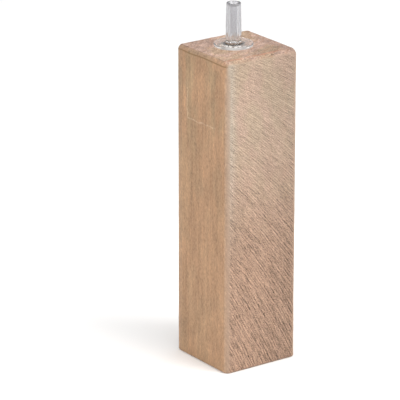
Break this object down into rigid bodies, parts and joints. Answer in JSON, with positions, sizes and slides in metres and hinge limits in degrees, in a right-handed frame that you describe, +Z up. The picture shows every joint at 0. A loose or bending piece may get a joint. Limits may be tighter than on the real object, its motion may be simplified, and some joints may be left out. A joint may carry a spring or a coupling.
{
  "type": "air stone",
  "caption": "Square limewood air stone: a drilled hardwood block with a clear flanged hose nipple glued into its top.",
  "frame": {"origin": "centre of the block's base, at the bottom of the object's bounding box", "axes": "+Z up the block's grain towards the hose nipple; +X and +Y square to the block's sides"},
  "size_m": [0.025, 0.025, 0.1067],
  "materials": {
    "limewood": "matte",
    "clear_plastic": "gloss",
    "clear_adhesive": "gloss"
  },
  "bodies": {
    "root": {"wood_block": "limewood", "hose_connector": "clear_plastic", "adhesive": "clear_adhesive"}
  },
  "joints": []
}
